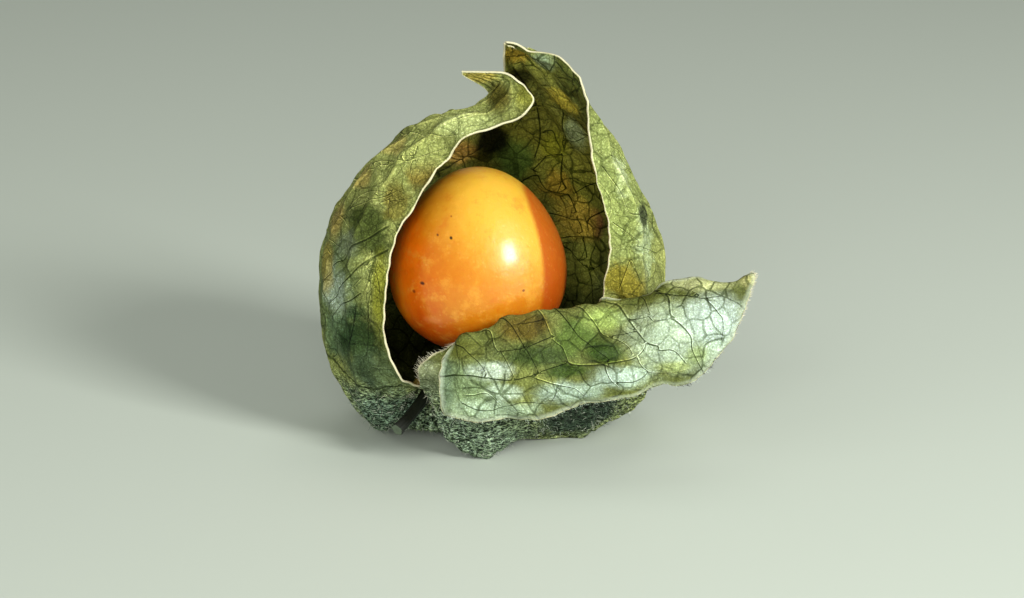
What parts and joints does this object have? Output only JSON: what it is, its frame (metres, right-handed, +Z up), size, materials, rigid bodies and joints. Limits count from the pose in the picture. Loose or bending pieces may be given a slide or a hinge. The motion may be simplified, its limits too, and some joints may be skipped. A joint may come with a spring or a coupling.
{
  "type": "physalis berry",
  "caption": "Ripe physalis berry sitting in its dried papery husk, which is torn open at the front with its lobes curled and folded back",
  "frame": {"origin": "middle of the bounding box at the surface it rests on", "axes": "+Z up, the torn opening faces -Y, the folded lobe's tip points to +X"},
  "size_m": [0.0462, 0.0312, 0.0423],
  "materials": {
    "berry": "smooth waxy fruit skin",
    "husk": "dry veined papery leaf, matt outside and slightly shiny inside",
    "stem": "dull dry stalk"
  },
  "bodies": {
    "root": {"berry": "berry", "husk": "husk", "stem": "stem"}
  },
  "joints": []
}
